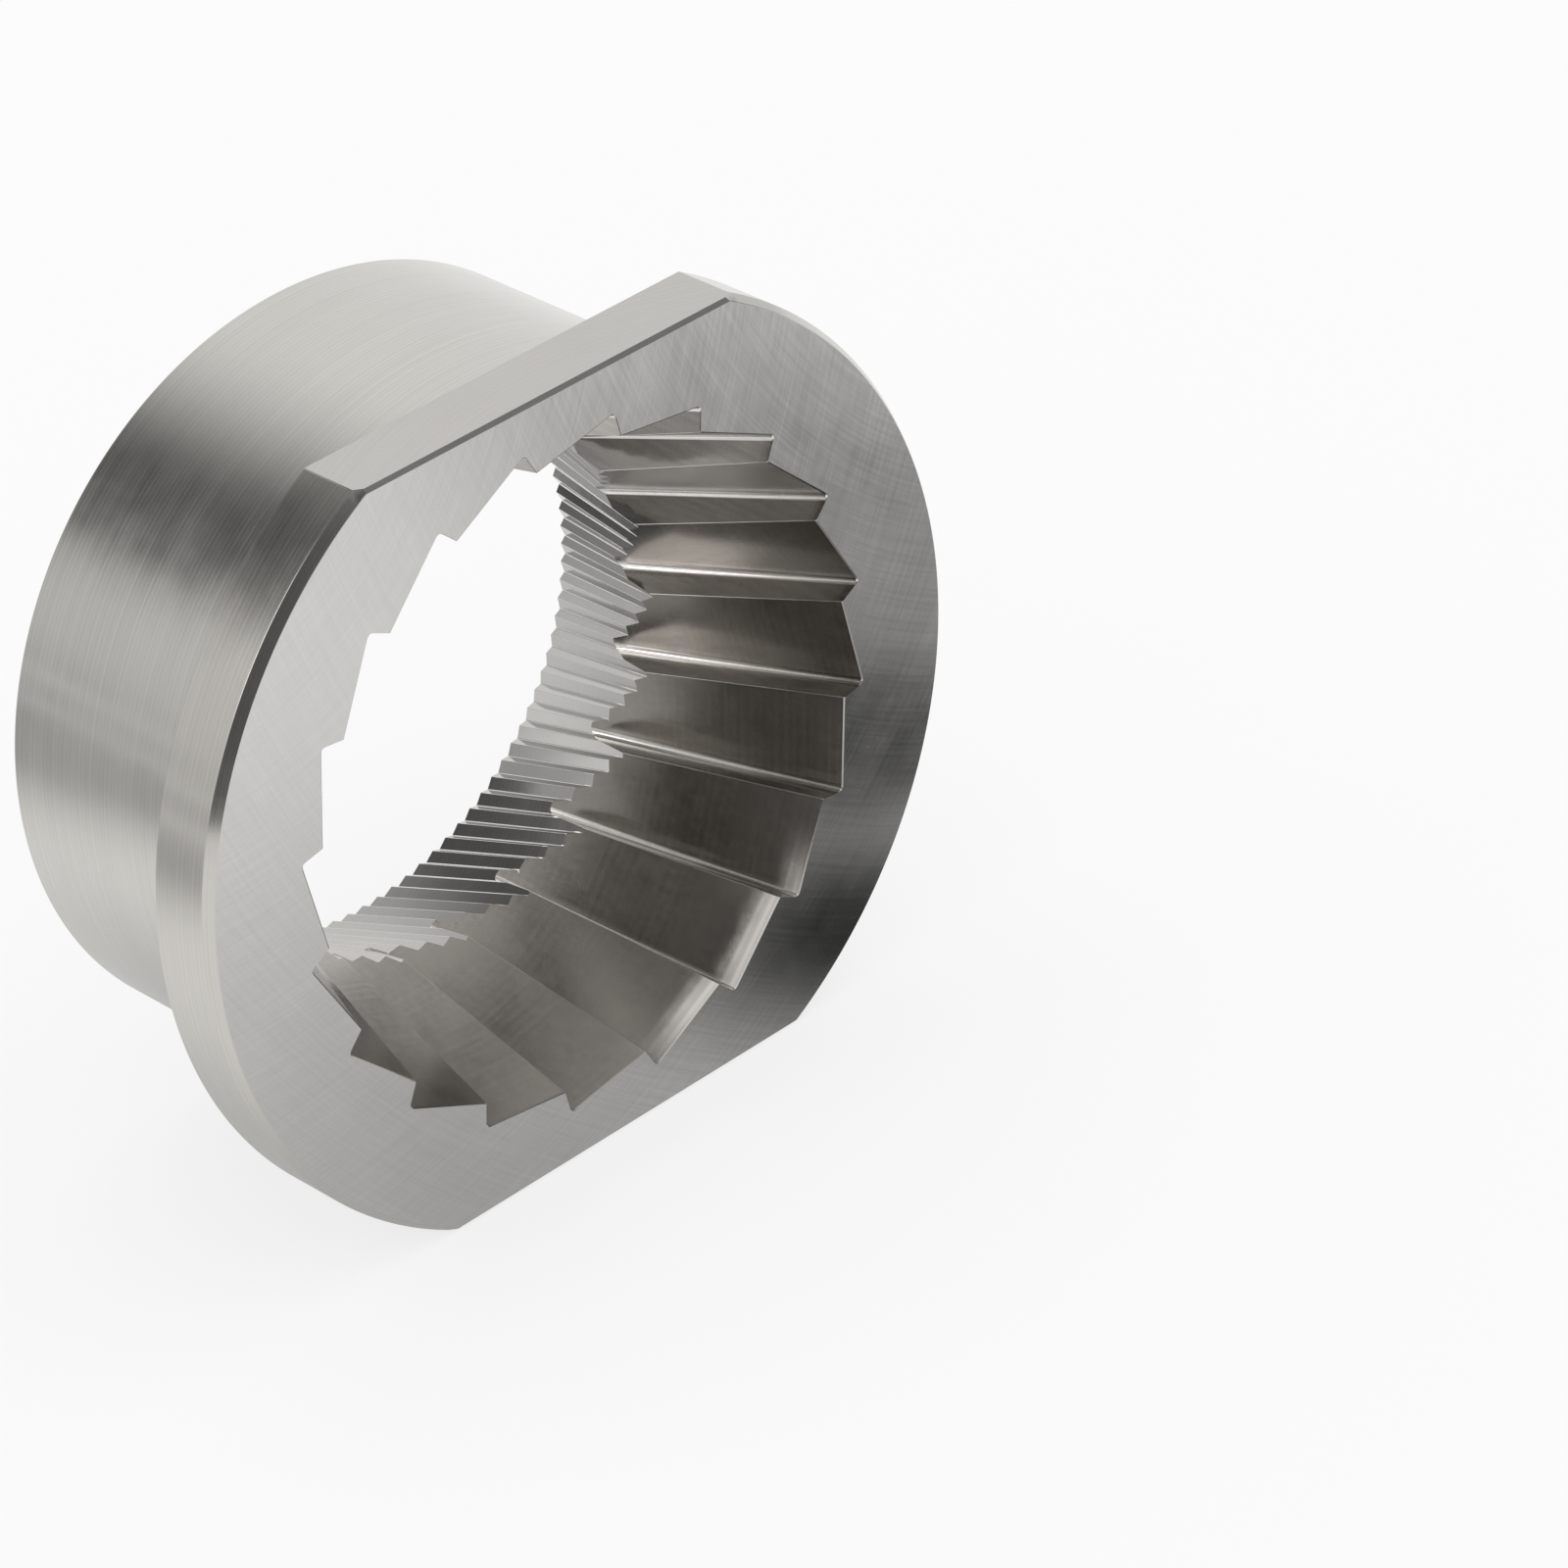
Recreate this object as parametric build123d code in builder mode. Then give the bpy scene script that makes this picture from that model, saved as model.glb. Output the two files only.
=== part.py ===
from build123d import *
import os
from math import radians, tan

# Ring burr of a conical coffee grinder: one piece of steel, turned, milled flat on two sides
# and toothed inside. Millimetres and degrees.
# The bore runs along Y. The flange faces -Y, the body points to +Y, and the origin is on the
# bore's axis, in the plane where the back of the flange seats.

# Flange
flange_diameter = 72.0
flange_thickness = 5.8
across_flats = 62.5
rim_chamfer_depth = 0.8
rim_chamfer_reach = 0.5
flat_edge_chamfer = 0.3

# Body behind the flange
body_diameter = 59.4
body_length = 23.7
end_chamfer = 0.25

# Coarse teeth, measured at the face. Crests and valleys are straight lines that taper to the
# waist and lean to one side, and each valley follows its crest by the turn of the steep flank.
coarse_teeth = 20
coarse_crest_diameter = 51.5
coarse_tooth_height = 1.9
coarse_first_crest = 4.65
coarse_steep_turn = 1.71
coarse_crest_taper = 18.34
coarse_crest_lean = 8.49
coarse_valley_taper = 15.2
coarse_valley_lean = 8.2
coarse_valley_radius = 0.4
mouth_edge_break = 0.15

# Fine teeth, measured at the waist, where the coarse crests end: they widen to the back end
waist_depth = 16.3
fine_per_coarse = 5
fine_tooth_height = 0.45
fine_first_crest = 2.85
fine_steep_turn = 1.2
fine_taper = 14.4
fine_lean = 10.4

# Each gap's cutter reaches this far past the faces that it cuts through, and its flanks run past
# the crests to this many times their length. The bore is turned this far inside the crests.
overrun = 1.0
gap_reach = 1.3
bore_allowance = 0.1

full_length = flange_thickness + body_length
fine_teeth = coarse_teeth * fine_per_coarse

def line_point(radius, angle, taper, lean, run):
    """Point of a straight tooth line, a run along the bore from where it has a radius and angle."""
    outward = radius + run * tan(radians(taper))
    aside = -run * tan(radians(lean))
    return Vector(outward, aside).rotate(Axis.Z, angle)

def coarse_crest(depth, spread=0):
    radius = coarse_crest_diameter / 2 + spread
    return line_point(radius, coarse_first_crest, -coarse_crest_taper, coarse_crest_lean, depth)

def coarse_valley(depth, spread=0):
    radius = coarse_crest_diameter / 2 + coarse_tooth_height + spread
    angle = coarse_first_crest + coarse_steep_turn
    return line_point(radius, angle, -coarse_valley_taper, coarse_valley_lean, depth)

waist_radius = coarse_crest(waist_depth).length

def fine_crest(depth):
    return line_point(waist_radius, fine_first_crest, fine_taper, fine_lean, depth - waist_depth)

def fine_valley(depth):
    radius = waist_radius + fine_tooth_height
    angle = fine_first_crest + fine_steep_turn
    return line_point(radius, angle, fine_taper, fine_lean, depth - waist_depth)

# Depth where the coarse valleys run out among the fine ones
valley_fall = tan(radians(coarse_valley_taper)) + tan(radians(fine_taper))
runout_depth = waist_depth + (
    coarse_valley(waist_depth).length - waist_radius - fine_tooth_height
) / valley_fall

def plane_at(depth):
    """Cross plane at a depth below the flange's face."""
    return Plane.XZ.offset(flange_thickness - depth)

def gap_corners(crest, valley, teeth):
    """Corners of one tooth gap: its valley, and a point past the crest on either side of it."""
    next_crest = crest.rotate(Axis.Z, 360 / teeth)
    return [
        valley + (crest - valley) * gap_reach,
        valley,
        valley + (next_crest - valley) * gap_reach,
    ]

def coarse_gap_section(depth, spread=0):
    """Outline of one coarse gap at one depth, with the cutter's nose radius in the valley."""
    corners = gap_corners(coarse_crest(depth, spread), coarse_valley(depth, spread), coarse_teeth)
    with BuildSketch(plane_at(depth)) as section:
        with BuildLine():
            Polyline(*corners, close=True)
        make_face()
        valley = section.vertices().sort_by(lambda v: v.center().length)[-1]
        fillet(valley, coarse_valley_radius)
    return section.sketch

def fine_gap_section(depth):
    """Outline of one fine gap at one depth."""
    with BuildSketch(plane_at(depth)) as section:
        with BuildLine():
            Polyline(*gap_corners(fine_crest(depth), fine_valley(depth), fine_teeth), close=True)
        make_face()
    return section.sketch

# One coarse gap, from in front of the face, where its edge is broken, to beyond its run-out
with BuildPart() as coarse_gap:
    loft(
        [
            coarse_gap_section(-overrun, spread=overrun + mouth_edge_break),
            coarse_gap_section(mouth_edge_break),
            coarse_gap_section(runout_depth + overrun),
        ],
        ruled=True,
    )

# One fine gap, from inside the coarse ones to beyond the back end
with BuildPart() as fine_gap:
    loft([fine_gap_section(waist_depth - overrun), fine_gap_section(full_length + overrun)], ruled=True)

with BuildPart() as ring_burr:
    # Turned blank: flange with a chamfered rim, plain body, chamfered back end
    flange_radius = flange_diameter / 2
    body_radius = body_diameter / 2
    with BuildSketch(Plane.XY):
        with BuildLine():
            Polyline(
                (0, -flange_thickness),
                (flange_radius - rim_chamfer_reach, -flange_thickness),
                (flange_radius, rim_chamfer_depth - flange_thickness),
                (flange_radius, 0),
                (body_radius, 0),
                (body_radius, body_length - end_chamfer),
                (body_radius - end_chamfer, body_length),
                (0, body_length),
                close=True,
            )
        make_face()
    revolve(axis=Axis.Y)

    # Two flats across the flange
    flat_cut = flange_diameter - across_flats
    for side in (1, -1):
        with Locations((0, -flange_thickness / 2, side * (across_flats + flat_cut) / 2)):
            Box(flange_diameter, flange_thickness, flat_cut, mode=Mode.SUBTRACT)
    flat_edges = ring_burr.edges().filter_by(Axis.X).group_by(Axis.Y)[0]
    chamfer(flat_edges, flat_edge_chamfer)

    # Bore turned a little inside the crests: it narrows to the waist and widens to the back end
    mouth_radius = coarse_crest_diameter / 2 - bore_allowance
    exit_radius = fine_crest(full_length).length - bore_allowance
    with BuildSketch(Plane.XY):
        with BuildLine():
            Polyline(
                (0, -flange_thickness),
                (mouth_radius, -flange_thickness),
                (waist_radius - bore_allowance, waist_depth - flange_thickness),
                (exit_radius, body_length),
                (0, body_length),
                close=True,
            )
        make_face()
    revolve(axis=Axis.Y, mode=Mode.SUBTRACT)

    # The teeth are what the gaps leave
    gaps = [coarse_gap.part.rotate(Axis.Y, tooth * 360 / coarse_teeth) for tooth in range(coarse_teeth)]
    gaps += [fine_gap.part.rotate(Axis.Y, tooth * 360 / fine_teeth) for tooth in range(fine_teeth)]
    add(gaps, mode=Mode.SUBTRACT)

ring_burr.part.label = "ring_burr"

os.makedirs("parts", exist_ok=True)
export_step(ring_burr.part, "parts/ring_burr.step")
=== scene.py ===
import bpy
import bmesh
from math import cos, pi, radians, sin, tan
from mathutils import Euler, Matrix, Vector


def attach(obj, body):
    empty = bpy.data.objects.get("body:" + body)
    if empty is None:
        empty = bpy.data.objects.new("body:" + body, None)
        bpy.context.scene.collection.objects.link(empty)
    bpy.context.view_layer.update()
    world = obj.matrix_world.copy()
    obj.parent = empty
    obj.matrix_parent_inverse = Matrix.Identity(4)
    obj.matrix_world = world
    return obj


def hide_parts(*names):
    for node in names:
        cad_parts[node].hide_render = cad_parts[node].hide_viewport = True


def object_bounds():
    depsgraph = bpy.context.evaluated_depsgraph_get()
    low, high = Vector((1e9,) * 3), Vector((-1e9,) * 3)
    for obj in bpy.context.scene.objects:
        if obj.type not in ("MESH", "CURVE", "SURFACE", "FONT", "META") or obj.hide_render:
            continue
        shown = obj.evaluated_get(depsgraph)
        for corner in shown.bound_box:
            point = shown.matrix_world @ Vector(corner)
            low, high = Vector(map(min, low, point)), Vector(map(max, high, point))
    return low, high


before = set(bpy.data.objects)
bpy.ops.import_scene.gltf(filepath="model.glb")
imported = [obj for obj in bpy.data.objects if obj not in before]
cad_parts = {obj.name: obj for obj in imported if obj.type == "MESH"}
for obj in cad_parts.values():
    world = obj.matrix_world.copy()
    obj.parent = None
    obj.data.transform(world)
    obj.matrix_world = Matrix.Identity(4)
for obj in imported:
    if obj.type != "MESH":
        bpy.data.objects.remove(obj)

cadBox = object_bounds()
scene = bpy.context.scene
mm = 0.001


# A value in a shader tree, which can be added, subtracted and multiplied
class Wire:
    def __init__(self, tree, socket=None):
        self.tree = tree
        self.socket = socket

    def node(self, kind, settings=None, sockets=None, out=0):
        made = self.tree.nodes.new(kind)
        for name, value in (settings or {}).items():
            setattr(made, name, value)
        for name, value in (sockets or {}).items():
            if isinstance(value, Wire):
                self.tree.links.new(value.socket, made.inputs[name])
            else:
                made.inputs[name].default_value = value
        return Wire(self.tree, made.outputs[out])

    def maths(self, operation, *values):
        return self.node("ShaderNodeMath", {"operation": operation}, dict(enumerate(values)))

    def __add__(self, other):
        return self.maths("ADD", self, other)

    def __sub__(self, other):
        return self.maths("SUBTRACT", self, other)

    def __rsub__(self, other):
        return self.maths("SUBTRACT", other, self)

    def __mul__(self, other):
        return self.maths("MULTIPLY", self, other)

    __radd__ = __add__
    __rmul__ = __mul__

    def root(self):
        return self.maths("SQRT", self)

    def sine(self):
        return self.maths("SINE", self)

    def fade(self, start, end, startValue=0.0, endValue=1.0):
        return self.node("ShaderNodeMapRange", {"interpolation_type": "SMOOTHSTEP"}, {
            "Value": self, "From Min": start, "From Max": end,
            "To Min": startValue, "To Max": endValue})


# Everything about the ring burr's form, in millimetres and degrees
burr = {
    "flangeDiameter": 72.0,
    "flangeThickness": 5.8,
    "acrossFlats": 62.5,
    "rimChamferDepth": 0.8,
    "rimChamferReach": 0.5,
    "flatEdgeChamfer": 0.3,
    "bodyDiameter": 59.4,
    "bodyLength": 23.7,
    "endChamfer": 0.25,
    "turnedEdge": 0.04,
    "blankBore": 30.0,
    "rimMargin": 0.1,       # where the rim's finish begins, inside its chamfer
    "seatMargin": 0.03,     # and ends, in front of the flange's back
    "turnSteps": 360,
    "sharpAngle": 40,       # edges that turn more than this are shaded as sharp
}

coarse = {
    "teeth": 20,
    "crestDiameter": 51.5,
    "height": 1.9,
    "firstCrest": 4.65,
    "steepTurn": 1.71,
    "crestTaper": -18.34,
    "crestLean": 8.49,
    "valleyTaper": -15.2,
    "valleyLean": 8.2,
    "noseSteepReach": (0.45, 0.45),
    "noseBroadReach": (0.50, 1.60),
    "noseSegments": 8,
    "crestRounding": 0.035,
    "crestSegments": 4,
    "edgeBreak": 0.08,
    "runout": 21.8,
    "lengthCuts": 23,
}

fine = {
    "teeth": 100,
    "waistDepth": 16.3,
    "height": 0.45,
    "firstCrest": 2.85,
    "steepTurn": 1.2,
    "taper": 14.4,
    "lean": 10.4,
    "noseSteepReach": (0.05, 0.05),
    "noseBroadReach": (0.05, 0.05),
    "noseSegments": 2,
    "crestRounding": 0.025,
    "crestSegments": 4,
    "lengthCuts": 7,
}

zones = ["groundFace", "turnedBody", "turnedRim", "milledFlats", "coarseFlanks", "steepFlanks",
         "fineFlanks", "paintedHighlightEdges"]
zoneIndex = {name: number for number, name in enumerate(zones)}
# every border of these zones is shaded as a sharp edge
hardZones = {zoneIndex[name] for name in ("groundFace", "milledFlats", "fineFlanks")}

beyond = 1.0            # how far a cutter runs past what it cuts
joinGap = 0.0005        # closer vertices are merged, in a new piece and after the cuts
weldGap = 0.0002
tiny = 0.01             # two places closer than this count as one


def toothPoint(radius, angle, taper, lean, startDepth, depth):
    run = depth - startDepth
    outward = radius + run * tan(radians(taper))
    aside = -run * tan(radians(lean))
    turn = Matrix.Rotation(-radians(angle), 3, "Y")
    return turn @ Vector((outward, depth - burr["flangeThickness"], aside))


def coarseCorners(depth, spread):
    radius = coarse["crestDiameter"] / 2 + spread
    crest = [coarse["crestTaper"], coarse["crestLean"], 0, depth]
    valley = [coarse["valleyTaper"], coarse["valleyLean"], 0, depth]
    first = coarse["firstCrest"]
    return [
        toothPoint(radius, first, *crest),
        toothPoint(radius + coarse["height"], first + coarse["steepTurn"], *valley),
        toothPoint(radius, first + 360 / coarse["teeth"], *crest),
    ]


def waistRadius():
    corner = coarseCorners(fine["waistDepth"], 0)[0]
    return Vector((corner.x, corner.z)).length


def fineCorners(depth, spread):
    radius = waistRadius() + spread
    line = [fine["taper"], fine["lean"], fine["waistDepth"], depth]
    first = fine["firstCrest"]
    return [
        toothPoint(radius, first, *line),
        toothPoint(radius + fine["height"], first + fine["steepTurn"], *line),
        toothPoint(radius, first + 360 / fine["teeth"], *line),
    ]


def turnedBlank():
    bm = bmesh.new()
    flange = burr["flangeDiameter"] / 2
    body = burr["bodyDiameter"] / 2
    inner = burr["blankBore"] / 2
    face = -burr["flangeThickness"]
    end = burr["bodyLength"]
    outline = [
        (inner, face),
        (flange - burr["rimChamferReach"], face),
        (flange, face + burr["rimChamferDepth"]),
        (flange, 0),
        (body, 0),
        (body, end - burr["endChamfer"]),
        (body - burr["endChamfer"], end),
        (inner, end),
    ]
    corners = [bm.verts.new((x, y, 0)) for x, y in outline]
    for here, there in zip(corners, corners[1:] + corners[:1]):
        bm.edges.new((here, there))
    bmesh.ops.bevel(bm, geom=corners[1:-1], affect="VERTICES", offset=burr["turnedEdge"],
                    segments=2, profile=0.5, material=-1)
    bmesh.ops.spin(bm, geom=bm.verts[:] + bm.edges[:], cent=(0, 0, 0), axis=(0, 1, 0),
                   angle=2 * pi, steps=burr["turnSteps"], use_merge=True)
    bmesh.ops.remove_doubles(bm, verts=bm.verts[:], dist=joinGap)
    bmesh.ops.recalc_face_normals(bm, faces=bm.faces[:])
    rimStart = flange - burr["rimChamferReach"] - burr["rimMargin"]
    for f in bm.faces:
        middle = f.calc_center_median()
        if f.normal.y < tiny - 1 and middle.y < face + tiny:
            zone = "groundFace"
        elif Vector((middle.x, middle.z)).length > rimStart and middle.y < -burr["seatMargin"]:
            zone = "turnedRim"
        else:
            zone = "turnedBody"
        f.material_index = zoneIndex[zone]
    # two flats across the flange, each with a small chamfer on its front edge
    half = burr["acrossFlats"] / 2
    for side in (1, -1):
        planes = [
            (Vector((0, 0, side * half)), Vector((0, 0, side))),
            (Vector((0, face + burr["flatEdgeChamfer"], side * half)),
             Vector((0, -1, side)).normalized()),
        ]
        for place, outwards in planes:
            cut = bmesh.ops.bisect_plane(
                bm, geom=bm.verts[:] + bm.edges[:] + bm.faces[:], dist=0.00001,
                plane_co=place, plane_no=outwards, clear_outer=True)
            rim = [e for e in cut["geom_cut"] if isinstance(e, bmesh.types.BMEdge)]
            bmesh.ops.edgeloop_fill(bm, edges=rim, mat_nr=zoneIndex["milledFlats"])
    bmesh.ops.recalc_face_normals(bm, faces=bm.faces[:])
    return bm


# One gap's outline at a depth. The nose's reach along each flank is given at the face and at the
# back end.
def gapOutline(part, corners, depth):
    steep, valley, broad = corners
    share = min(max(depth / (burr["flangeThickness"] + burr["bodyLength"]), 0), 1)

    def reach(towards, ends):
        return (towards - valley).normalized() * (ends[0] + (ends[1] - ends[0]) * share)

    start = reach(steep, part["noseSteepReach"])
    end = reach(broad, part["noseBroadReach"])
    steps = part["noseSegments"]
    curve = [valley + start * (1 - step / steps) ** 2 + end * (step / steps) ** 2
             for step in range(steps + 1)]
    return [steep, *curve, broad]


# The cutter for every gap between teeth. Each gap's nose is a curve from the steep flank to the
# broad one, and the part of it next to the steep flank is given much lighter steel: a painted
# highlight.
def gapCutter(part, corners, stations, broadZone, steepZone):
    bm = bmesh.new()
    rows = [[bm.verts.new(point) for point in gapOutline(part, corners(depth, spread), depth)]
            for depth, spread in stations]
    last = part["noseSegments"] + 1
    kinds = [steepZone] + ["paintedHighlightEdges"] * (last // 2 + 1)
    kinds += [broadZone] * (last + 1 - len(kinds))
    for near, far in zip(rows, rows[1:]):
        for side, kind in enumerate(kinds):
            f = bm.faces.new((near[side], near[side + 1], far[side + 1], far[side]))
            f.material_index = zoneIndex[kind]
    # the two outer borders of a gap are the crests, which are rounded once the gaps are joined
    for near, far in zip(rows, rows[1:]):
        for side in (0, -1):
            bm.edges.get((near[side], far[side])).smooth = False
    # only the long edges: the ones in front of the face are short
    lengthwise = [e for e in bm.edges if abs(e.verts[0].co.y - e.verts[1].co.y) > 3 * beyond]
    bmesh.ops.subdivide_edges(bm, edges=lengthwise, cuts=part["lengthCuts"], use_grid_fill=True)
    copies = part["teeth"] - 1
    bmesh.ops.spin(
        bm, geom=bm.verts[:] + bm.edges[:] + bm.faces[:], cent=(0, 0, 0), axis=(0, 1, 0),
        angle=2 * pi * copies / part["teeth"], steps=copies, use_duplicate=True)
    bmesh.ops.remove_doubles(bm, verts=bm.verts[:], dist=joinGap)
    crests = [e for e in bm.edges if not e.smooth]
    rounded = bmesh.ops.bevel(
        bm, geom=crests, affect="EDGES", offset=part["crestRounding"],
        segments=part["crestSegments"], profile=0.5, material=-1)
    # the rounded crests get the same much lighter steel: a painted highlight
    for f in rounded["faces"]:
        f.material_index = zoneIndex["paintedHighlightEdges"]
    rims = [e for e in bm.edges if e.is_boundary]
    bmesh.ops.holes_fill(bm, edges=rims, sides=0)
    bmesh.ops.recalc_face_normals(bm, faces=bm.faces[:])
    return bm


def meshObject(name, bm, materials):
    mesh = bpy.data.meshes.new(name)
    bm.to_mesh(mesh)
    bm.free()
    for material in materials:
        mesh.materials.append(material)
    made = bpy.data.objects.new(name, mesh)
    scene.collection.objects.link(made)
    return made


def makeBurr(materials):
    piece = meshObject("burr_steel", turnedBlank(), materials)
    fullLength = burr["flangeThickness"] + burr["bodyLength"]
    # each station is a depth and how far the cutter is spread there
    coarseStations = [(-beyond, beyond + coarse["edgeBreak"]), (coarse["edgeBreak"], 0),
                      (coarse["runout"], 0)]
    fineStations = [(fine["waistDepth"] - beyond, 0), (fullLength + beyond, 0)]
    coarseCut = gapCutter(coarse, coarseCorners, coarseStations, "coarseFlanks", "steepFlanks")
    fineCut = gapCutter(fine, fineCorners, fineStations, "fineFlanks", "fineFlanks")
    cutters = [meshObject("coarse_cut", coarseCut, materials),
               meshObject("fine_cut", fineCut, materials)]
    for cutter in cutters:
        cut = piece.modifiers.new("cut", "BOOLEAN")
        cut.operation = "DIFFERENCE"
        cut.solver = "EXACT"
        cut.object = cutter
    graph = bpy.context.evaluated_depsgraph_get()
    mesh = bpy.data.meshes.new_from_object(piece.evaluated_get(graph))
    piece.modifiers.clear()
    piece.data = mesh
    for cutter in cutters:
        bpy.data.objects.remove(cutter)
    bm = bmesh.new()
    bm.from_mesh(mesh)
    bmesh.ops.remove_doubles(bm, verts=bm.verts[:], dist=weldGap)
    bmesh.ops.recalc_face_normals(bm, faces=bm.faces[:])
    bmesh.ops.scale(bm, vec=(mm, mm, mm), verts=bm.verts[:])
    for f in bm.faces:
        f.smooth = True
    mouthBorder = coarse["edgeBreak"] - burr["flangeThickness"]
    for e in bm.edges:
        kinds = {f.material_index for f in e.link_faces}
        e.smooth = len(e.link_faces) == 2 and e.calc_face_angle() < radians(burr["sharpAngle"])
        if len(kinds) > 1 and kinds & hardZones:
            e.smooth = False
        if all(abs(v.co.y / mm - mouthBorder) < tiny for v in e.verts):
            e.smooth = False
    print("open edges", sum(len(e.link_faces) != 2 for e in bm.edges), "faces", len(bm.faces),
          "volume mm3", bm.calc_volume() / mm ** 3)
    bm.to_mesh(mesh)
    bm.free()
    weighted = piece.modifiers.new("weightedNormals", "WEIGHTED_NORMAL")
    weighted.keep_sharp = True
    weighted.mode = "FACE_AREA"
    return piece


# One steel finish per zone. Places are x and z, and sizes and pitches are in millimetres. The face
# has two families of scratches, each with its centre and its lines per millimetre, which "turned"
# gives for the others. Each painted patch is painted light or shade: a place that is lighter or
# darker, or a little less metallic.
finishes = {
    "groundFace": {
        "colour": (0.672, 0.663, 0.645), "roughness": 0.24, "roughSpread": 0.07,
        "arcs": [((-34.0, 46.0), 4.4), ((62.0, 50.0), 3.9)], "lineDepth": 0.0006, "lineTone": 0.29,
        "linesFrom": -26.0, "linesTo": 24.0, "linesLeast": 0.40,
    },
    "turnedBody": {
        "colour": (0.612, 0.598, 0.566), "roughness": 0.19, "roughSpread": 0.06,
        "turned": 3.0, "pitch": 0.42, "lineDepth": 0.0007, "lineTone": 0.10,
    },
    "turnedRim": {
        "colour": (0.612, 0.594, 0.560), "roughness": 0.19, "roughSpread": 0.06,
        "turned": 3.0, "pitch": 0.42, "lineDepth": 0.0006, "lineTone": 0.08,
    },
    "milledFlats": {
        "colour": (0.545, 0.530, 0.508), "roughness": 0.26, "roughSpread": 0.08,
        "turned": 2.4, "pitch": 0.6, "lineDepth": 0.0005, "lineTone": 0.05,
    },
    "coarseFlanks": {
        "colour": (0.475, 0.455, 0.429), "roughness": 0.20, "roughSpread": 0.05,
        "turned": 3.4, "pitch": 0.7, "lineDepth": 0.0002, "lineTone": 0.05, "streakTone": 0.11,
        "lapped": 2.4, "lappedAt": (12.0, -22.6), "lappedSize": (4.5, 12.0),
        "lappedRoughness": 0.16, "lappedDepth": 0.0012, "lappedTone": 0.75, "lappedGrain": 1.1,
        "lappedDull": 0.72,
        # painted light on the lowest flanks, lighter and a little less metallic, and painted shade
        # on the upper right ones
        "paintedLightAndShade": [
            {"at": (-5.0, -22.4), "full": 5.0, "edge": 13.5, "tone": 0.26, "dull": 0.09},
            {"at": (21.6, 10.8), "full": 4.0, "edge": 13.0, "tone": -0.24, "dull": 0.0},
        ],
    },
    "steepFlanks": {
        "colour": (0.440, 0.418, 0.392), "roughness": 0.14, "roughSpread": 0.04,
        "turned": 3.0, "pitch": 0.5, "lineDepth": 0.0002, "lineTone": 0.05, "streakTone": 0.28,
        # painted shade on the upper right steep flanks
        "paintedLightAndShade": [{"at": (21.6, 10.8), "full": 4.0, "edge": 13.0, "tone": -0.12, "dull": 0.0}],
    },
    "fineFlanks": {
        "colour": (0.565, 0.550, 0.532), "roughness": 0.13, "roughSpread": 0.05,
        "turned": 2.0, "pitch": 0.5, "lineDepth": 0.0003, "lineTone": 0.05,
    },
    # much lighter steel than the flanks: a painted highlight on the noses and crests
    "paintedHighlightEdges": {
        "colour": (0.93, 0.915, 0.890), "roughness": 0.20, "roughSpread": 0.05,
        "turned": 2.0, "pitch": 0.5, "lineDepth": 0.0001, "lineTone": 0.04, "streakTone": 0.10,
    },
}

wear = {
    "patchSize": 9.0,
    "patchTone": 0.05,
    "smearSize": 2.2,
    "smearRoughness": 0.6,
    "grainRoughness": 0.5,
    "scratchRun": 0.11,             # how fast a scratch changes along its length
    "turnedRun": 0.025,
    "feedShare": 0.25,              # the tool's feed marks against the uneven lines
    "streakScale": (2.4, 0.14, 2.4),
    "bandRagged": 1.2,              # how uneven the brushed band's inner border is
    "bandFull": 0.2,                # the share of it before it begins to fade
    "bumpDistance": 2.0,
}


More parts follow.
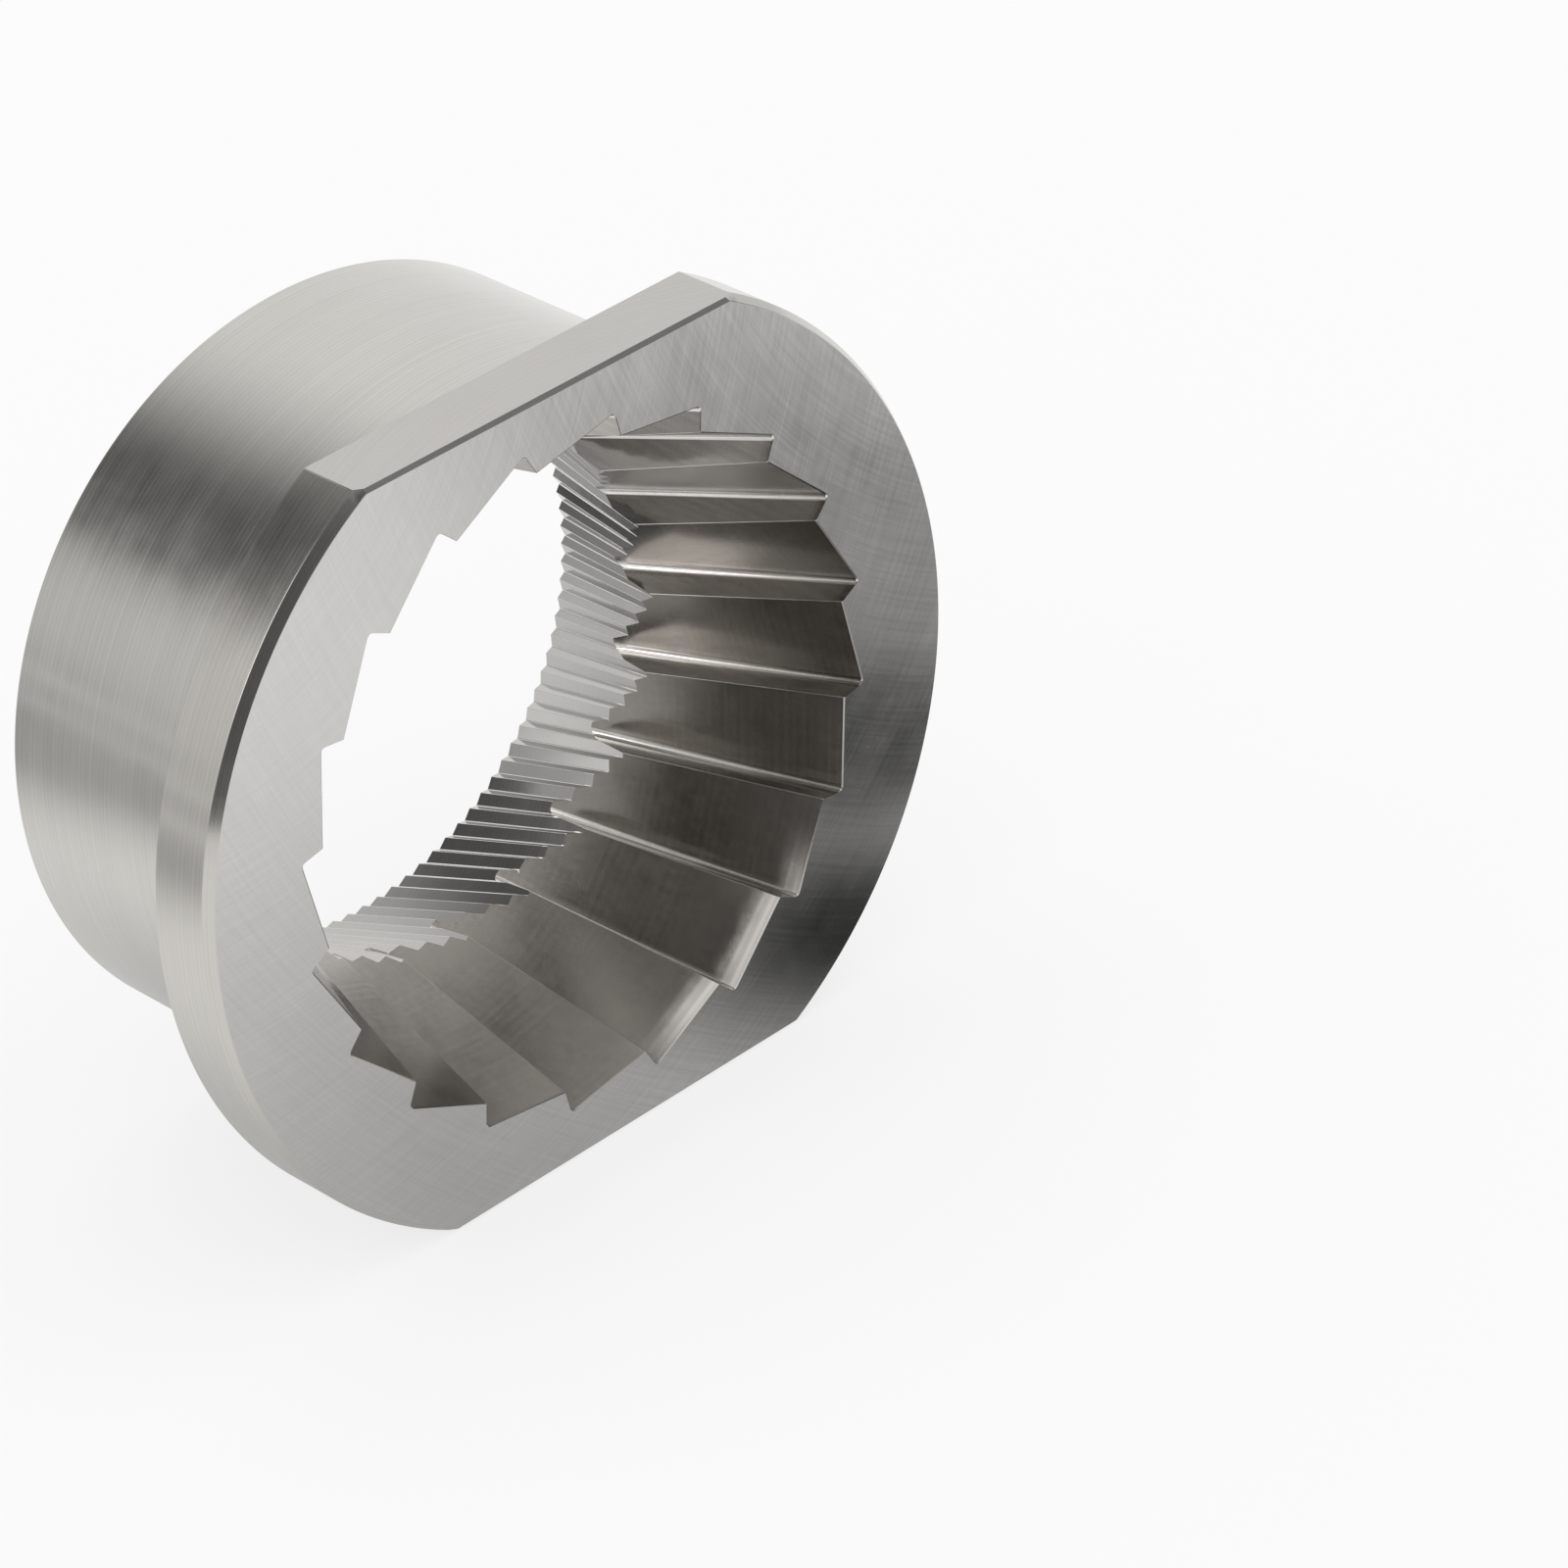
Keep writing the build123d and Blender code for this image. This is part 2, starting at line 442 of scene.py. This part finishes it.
def steelFinish(name):
    look = finishes[name]
    material = bpy.data.materials.new(name)
    material.use_nodes = True
    tree = material.node_tree
    shader = tree.nodes["Principled BSDF"]
    shader.inputs["Metallic"].default_value = 1
    wire = Wire(tree)
    place = wire.node("ShaderNodeTexCoord", out="Object")
    place = wire.node("ShaderNodeVectorMath", {"operation": "SCALE"}, {0: place, "Scale": 1 / mm})
    x, y, z = (wire.node("ShaderNodeSeparateXYZ", sockets={0: place}, out=axis) for axis in "XYZ")

    def distance(cx, cz):
        return ((x - cx) * (x - cx) + (z - cz) * (z - cz)).root()

    lengthwise = wear["scratchRun"] if "arcs" in look else wear["turnedRun"]

    def lines(across, perMillimetre, seed):
        along = wire.node("ShaderNodeCombineXYZ", sockets={
            0: across * perMillimetre, 1: x * lengthwise + seed, 2: z * lengthwise})
        return wire.node("ShaderNodeTexNoise", sockets={
            "Vector": along, "Scale": 1.0, "Detail": 1.5, "Roughness": 0.55})

    if "arcs" in look:
        sets = [lines(distance(*centre), perMillimetre, seed)
                for seed, (centre, perMillimetre) in enumerate(look["arcs"])]
        grain = (sets[0] + sets[1]) * 0.5
    else:
        inTheBore = "Flanks" in name or "Edges" in name
        across = y if inTheBore else distance(0, 0) + y
        feed = (across * (2 * pi / look["pitch"])).sine() * 0.5 + 0.5
        uneven = lines(across, look["turned"], 0) * (1 - wear["feedShare"])
        grain = uneven + feed * wear["feedShare"]
    patches = wire.node("ShaderNodeTexNoise", sockets={
        "Vector": place, "Scale": 1 / wear["patchSize"], "Detail": 3.0, "Roughness": 0.55})
    smears = wire.node("ShaderNodeTexNoise", sockets={
        "Vector": place, "Scale": 1 / wear["smearSize"], "Detail": 2.0, "Roughness": 0.5})
    contrast = look["lineTone"]
    if "arcs" in look:
        least = contrast * look["linesLeast"]
        contrast = x.fade(look["linesFrom"], look["linesTo"], least, contrast)
    tone = 1 + (grain - 0.5) * 2 * contrast + (patches - 0.5) * 2 * wear["patchTone"]
    spread = (patches - 0.5) + (smears - 0.5) * wear["smearRoughness"]
    spread = spread + (grain - 0.5) * wear["grainRoughness"]
    roughness = look["roughness"] + spread * look["roughSpread"] * 2
    metallic = 1
    for paintedPatch in look.get("paintedLightAndShade", []):     # painted light and shade: lighter or darker places, some a little less metallic
        near = distance(*paintedPatch["at"]).fade(paintedPatch["full"], paintedPatch["edge"], 1.0, 0.0)
        tone = tone + near * paintedPatch["tone"]
        metallic = metallic - near * paintedPatch["dull"]
    depth = look["lineDepth"]
    height = grain * depth
    band = 0
    if "lapped" in look:     # a brushed band just inside the mouth, on the lowest teeth, lighter and less metallic: a painted highlight
        full, edge = look["lappedSize"]
        inwards = y + (smears - 0.5) * wear["bandRagged"] + burr["flangeThickness"]
        band = inwards.fade(wear["bandFull"] * look["lapped"], look["lapped"], 1.0, 0.0)
        band = band * distance(*look["lappedAt"]).fade(full, edge, 1.0, 0.0)
        roughness = roughness + band * look["lappedRoughness"]
        # the band's lighter tone and lower metallic are a painted highlight; its roughness and
        # grain are brushed
        tone = tone + band * (look["lappedTone"] + (grain - 0.5) * look["lappedGrain"])
        metallic = metallic - band * look["lappedDull"]
        height = grain * (band * (look["lappedDepth"] - depth) + depth)
    if "streakTone" in look:     # streaks along the teeth
        stretched = wire.node("ShaderNodeVectorMath", {"operation": "MULTIPLY"}, {
            0: place, 1: wear["streakScale"]})
        streaks = wire.node("ShaderNodeTexNoise", sockets={
            "Vector": stretched, "Scale": 1.0, "Detail": 3.0, "Roughness": 0.6})
        tone = tone + (streaks - 0.5) * (1 - band) * 2 * look["streakTone"]
        roughness = roughness + (streaks - 0.5) * look["roughSpread"]
    colour = wire.node("ShaderNodeVectorMath", {"operation": "SCALE"}, {
        0: look["colour"], "Scale": tone})
    bump = wire.node("ShaderNodeBump", sockets={
        "Height": height, "Distance": wear["bumpDistance"] * mm, "Strength": 1.0})
    tree.links.new(colour.socket, shader.inputs["Base Color"])
    tree.links.new(roughness.socket, shader.inputs["Roughness"])
    if isinstance(metallic, Wire):
        tree.links.new(metallic.socket, shader.inputs["Metallic"])
    tree.links.new(bump.socket, shader.inputs["Normal"])
    return material


steelPiece = makeBurr([steelFinish(name) for name in zones])
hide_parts("ring_burr")
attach(steelPiece, "root")
print("burr made")


# A pale floor and a soft studio, in metres
stage = {
    "floorSize": 6.0,
    "floorDrop": 0.00001,
    "floorColour": 0.8,
    "floorSeenWhite": 0.75,
    "floorReflectedWhite": 0.6,
    "plainLight": 1.1,
    "roomTone": 0.10,
}

# Each soft light: where it is (azimuth from +Y towards +X, height above the horizon), how wide its
# full part and its fading edge are, in degrees, and how bright it is
softLights = [
    {"at": (46, 24), "full": 20, "edge": 60, "level": 0.84},
    {"at": (-54, 14), "full": 6, "edge": 25, "level": 0.66},
    {"at": (-80, 22), "full": 4, "edge": 18, "level": 0.80},
    {"at": (-62, 38), "full": 6, "edge": 22, "level": 1.85},
    {"at": (-7, 14), "full": 3, "edge": 13, "level": 0.19},
    {"at": (178, 25), "full": 6, "edge": 32, "level": 0.55},
    {"at": (134, 44), "full": 4, "edge": 26, "level": 0.16},
    {"at": (0, 88), "full": 5, "edge": 34, "level": 0.30},
]

# Soft dark cards on the floor, which only the metal mirrors: place, full and fading radius in
# metres, and how much of the floor's light each takes away
darkCards = [
    {"at": (0.011, 0.002), "full": 0.022, "edge": 0.079, "depth": 0.41},
    {"at": (0.029, -0.013), "full": 0.002, "edge": 0.026, "depth": 0.95},
    {"at": (0.048, -0.033), "full": 0.008, "edge": 0.016, "depth": 0.80},
    {"at": (0.068, -0.043), "full": 0.024, "edge": 0.038, "depth": 0.64},
    {"at": (0.084, -0.086), "full": 0.008, "edge": 0.036, "depth": 0.56},
    {"at": (-0.099, 0.190), "full": 0.091, "edge": 0.146, "depth": 0.50},
    {"at": (-0.350, 0.800), "full": 0.450, "edge": 0.700, "depth": 0.45},
]

floorMesh = bmesh.new()
bmesh.ops.create_grid(floorMesh, x_segments=1, y_segments=1, size=stage["floorSize"] / 2)
floor = meshObject("floor", floorMesh, [])
floor.data.transform(Matrix.Translation((0, 0, cadBox[0].z - stage["floorDrop"])))
floorMaterial = bpy.data.materials.new("paleFloor")
floorMaterial.use_nodes = True
tree = floorMaterial.node_tree
tree.nodes.remove(tree.nodes["Principled BSDF"])
wire = Wire(tree)
grey = stage["floorColour"]
lit = wire.node("ShaderNodeBsdfDiffuse", sockets={"Color": (grey, grey, grey, 1)})
white = wire.node("ShaderNodeEmission", sockets={"Color": (1, 1, 1, 1), "Strength": 1.0})
seen, mirrored, through = (wire.node("ShaderNodeLightPath", out="Is %s Ray" % kind)
                           for kind in ("Camera", "Glossy", "Transmission"))
share = (seen + through) * stage["floorSeenWhite"] + mirrored * stage["floorReflectedWhite"]
mixed = wire.node("ShaderNodeMixShader", sockets={"Fac": share, 1: lit, 2: white})
spot = wire.node("ShaderNodeTexCoord", out="Object")
kept = 1
for card in darkCards:
    apart = wire.node("ShaderNodeVectorMath", {"operation": "DISTANCE"}, {
        0: spot, 1: (*card["at"], cadBox[0].z)}, out="Value")
    kept = apart.fade(card["full"], card["edge"], 1 - card["depth"], 1.0) * kept
black = wire.node("ShaderNodeEmission", sockets={"Color": (0, 0, 0, 1), "Strength": 0.0})
carded = wire.node("ShaderNodeMixShader", sockets={
    "Fac": (1 - kept) * mirrored, 1: mixed, 2: black})
tree.links.new(carded.socket, tree.nodes["Material Output"].inputs["Surface"])
floor.data.materials.append(floorMaterial)

world = bpy.data.worlds.new("studio")
scene.world = world
world.use_nodes = True
tree = world.node_tree
wire = Wire(tree)
towards = wire.node("ShaderNodeTexCoord", out="Generated")
room = stage["roomTone"]
for light in softLights:
    azimuth, height = (radians(angle) for angle in light["at"])
    centre = (sin(azimuth) * cos(height), cos(azimuth) * cos(height), sin(height))
    facing = wire.node("ShaderNodeVectorMath", {"operation": "DOT_PRODUCT"}, {
        0: towards, 1: centre}, out="Value")
    glow = facing.fade(cos(radians(light["edge"])), cos(radians(light["full"])))
    room = glow * light["level"] + room
seen, mirrored = (wire.node("ShaderNodeLightPath", out="Is %s Ray" % kind)
                  for kind in ("Camera", "Glossy"))
strength = room * mirrored + (1 - mirrored) * stage["plainLight"]
strength = strength * (1 - seen) + seen
tree.nodes["Background"].inputs["Color"].default_value = (1, 1, 1, 1)
tree.links.new(strength.socket, tree.nodes["Background"].inputs["Strength"])
print("stage made")

camera = {
    "place": (-0.272771, -0.333687, 0.264271),
    "turn": (57.839076, 4.481929, -44.404447),
    "lens": 159.58,
    "sensor": 36,
}
lens = bpy.data.cameras.new("camera")
lens.lens = camera["lens"]
lens.sensor_width = camera["sensor"]
cameraObject = bpy.data.objects.new("camera", lens)
cameraObject.location = camera["place"]
cameraObject.rotation_euler = Euler([radians(turn) for turn in camera["turn"]])
scene.collection.objects.link(cameraObject)
scene.camera = cameraObject
scene.view_settings.view_transform = "Standard"
